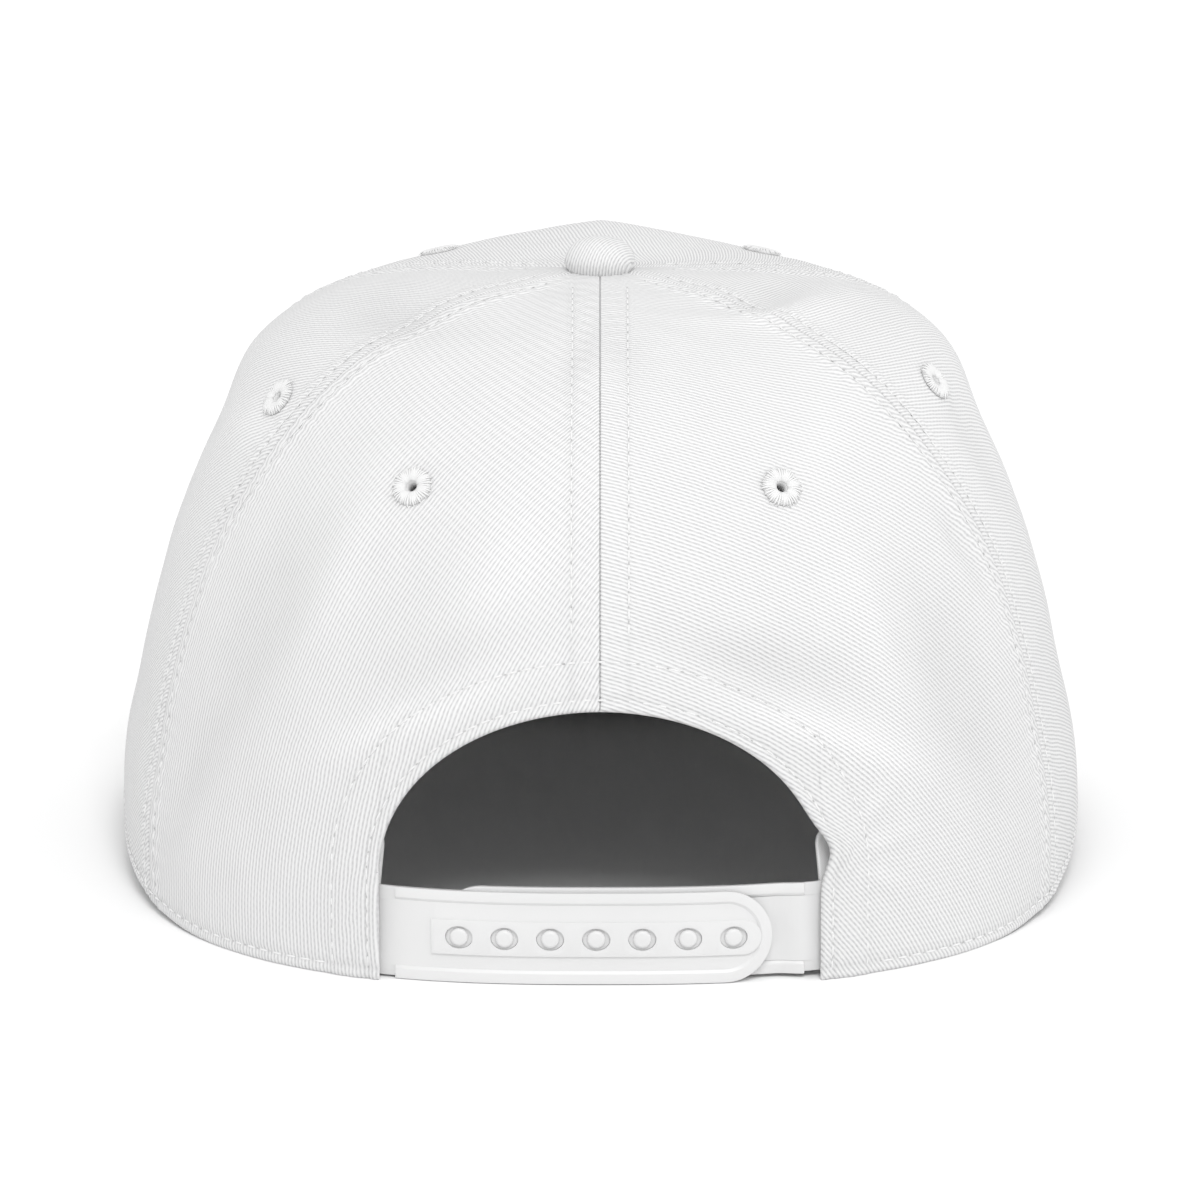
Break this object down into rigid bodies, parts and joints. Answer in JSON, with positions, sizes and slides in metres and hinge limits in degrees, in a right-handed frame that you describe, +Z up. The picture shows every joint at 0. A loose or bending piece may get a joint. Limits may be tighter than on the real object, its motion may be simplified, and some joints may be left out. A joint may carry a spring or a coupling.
{
  "type": "five-panel cap",
  "caption": "White panelled cotton cap with a covered button, stitched eyelets, a plain peak and an arched opening at the back that a plastic snap strap closes.",
  "frame": {"origin": "middle of the bounding box at its base, on the surface that the cap rests on", "axes": "+Z up, -Y towards the peak's front edge, +Y towards the strap at the back, +X towards the wearer's left"},
  "size_m": [0.192, 0.2432, 0.123],
  "materials": {
    "twill": "white cotton twill, matt",
    "ribbon": "white cotton band, matt",
    "thread": "white embroidery thread, slight sheen",
    "plastic": "white moulded plastic, satin"
  },
  "bodies": {
    "root": {"front_panel": "twill", "side_panel_left": "twill", "side_panel_right": "twill", "back_panel_left": "twill", "back_panel_right": "twill", "top_button": "twill", "peak": "twill", "sweatband": "ribbon", "hole_strap": "plastic", "peg_strap": "plastic", "eyelet_front_left": "thread", "eyelet_front_right": "thread", "eyelet_side_left": "thread", "eyelet_side_right": "thread", "eyelet_back_left": "thread", "eyelet_back_right": "thread"}
  },
  "joints": []
}
